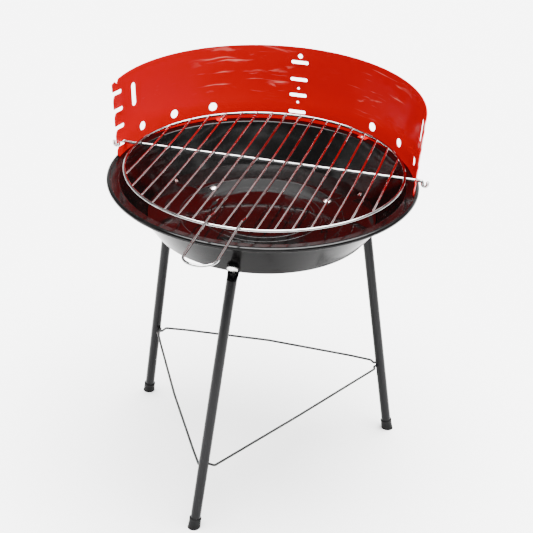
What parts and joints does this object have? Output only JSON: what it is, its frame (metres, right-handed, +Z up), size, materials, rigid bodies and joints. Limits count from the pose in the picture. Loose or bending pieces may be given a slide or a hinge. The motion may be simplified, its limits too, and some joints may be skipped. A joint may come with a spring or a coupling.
{
  "type": "charcoal grill",
  "caption": "Round charcoal grill: black enamelled bowl on splayed tube legs, half-round red wind shield with notches, and a lift-off chromed wire cooking grid with a bow handle.",
  "frame": {"origin": "middle of the whole grill's footprint box, on the ground", "axes": "+Z up; +Y towards the wind shield; the grid's handle points to -Y; +X to the right seen from the handle"},
  "size_m": [0.379, 0.4488, 0.4746],
  "materials": {
    "black_enamel": "gloss enamel",
    "red_enamel": "gloss enamel",
    "grid_chrome": "bright chromed wire",
    "leg_paint": "satin paint",
    "foot_rubber": "matt",
    "zinc_steel": "zinc plated",
    "brace_wire": "satin"
  },
  "bodies": {
    "grill_frame": {"fire_bowl": "black_enamel", "charcoal_tray": "black_enamel", "tray_bolts": "zinc_steel", "tray_spacers": "zinc_steel", "tray_nuts": "zinc_steel", "wind_shield": "red_enamel", "shield_screws": "zinc_steel", "shield_nuts": "zinc_steel", "leg_front": "leg_paint", "leg_right": "leg_paint", "leg_left": "leg_paint", "foot_cap_front": "foot_rubber", "foot_cap_right": "foot_rubber", "foot_cap_left": "foot_rubber", "leg_screws": "zinc_steel", "leg_nuts": "zinc_steel", "brace_front_right": "brace_wire", "brace_rear": "brace_wire", "brace_front_left": "brace_wire"},
    "support_rod": {"support_rod": "grid_chrome"},
    "cooking_grid": {"grid_ring": "grid_chrome", "grid_handle": "grid_chrome", "grid_bar_01": "grid_chrome", "grid_bar_02": "grid_chrome", "grid_bar_03": "grid_chrome", "grid_bar_04": "grid_chrome", "grid_bar_05": "grid_chrome", "grid_bar_06": "grid_chrome", "grid_bar_07": "grid_chrome", "grid_bar_08": "grid_chrome", "grid_bar_09": "grid_chrome", "grid_bar_10": "grid_chrome", "grid_bar_11": "grid_chrome", "grid_bar_12": "grid_chrome", "grid_bar_13": "grid_chrome", "grid_bar_14": "grid_chrome", "grid_bar_15": "grid_chrome"}
  },
  "joints": [
    {"name": "rod_slide", "type": "slide", "parent": "grill_frame", "child": "support_rod", "axis": [0, -0.9863, 0.165], "range_m": [0, 0.02]},
    {"name": "grid_lift", "type": "slide", "parent": "support_rod", "child": "cooking_grid", "axis": [0, 0, 1], "range_m": [0, 0.12]}
  ]
}
